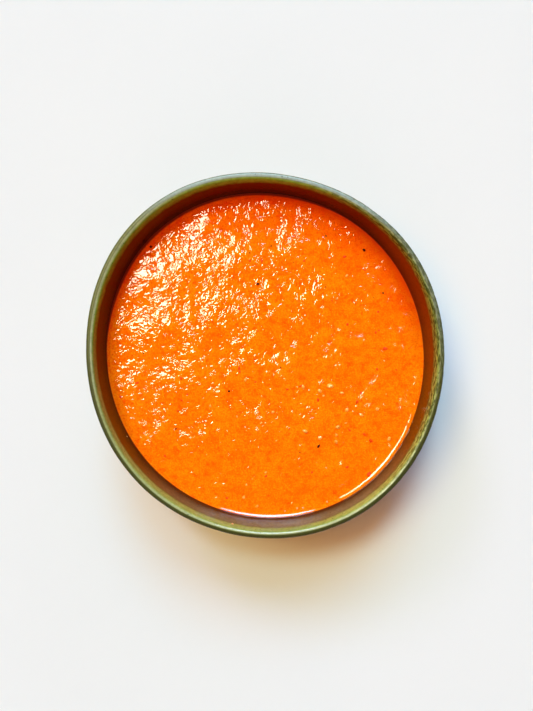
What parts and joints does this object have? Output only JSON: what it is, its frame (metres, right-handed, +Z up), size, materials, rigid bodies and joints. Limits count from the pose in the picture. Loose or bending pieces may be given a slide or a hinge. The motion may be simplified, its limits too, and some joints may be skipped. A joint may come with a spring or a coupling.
{
  "type": "bowl of gazpacho",
  "caption": "Low round stoneware bowl with a leaning wall, rounded lip and foot ring, filled with thick orange tomato soup to a level below the rim.",
  "frame": {"origin": "centre of the foot, on the surface the bowl stands on", "axes": "+Z up out of the bowl's mouth; +X and +Y are level, with the bowl's long way across at 62 degrees below +X"},
  "size_m": [0.17, 0.1737, 0.05],
  "materials": {
    "olive_glaze": "glossy olive-green stoneware glaze, mottled, paler where it runs thin over the lip",
    "tomato_puree": "wet, thick orange puree with a fine bumpy surface",
    "cracked_pepper": "dark brown dry pepper specks, wetted by the soup",
    "vegetable_bits": "wet bits of red pepper skin and pale seed and pulp in the soup"
  },
  "bodies": {
    "root": {"bowl": "olive_glaze", "soup": "tomato_puree"}
  },
  "joints": []
}
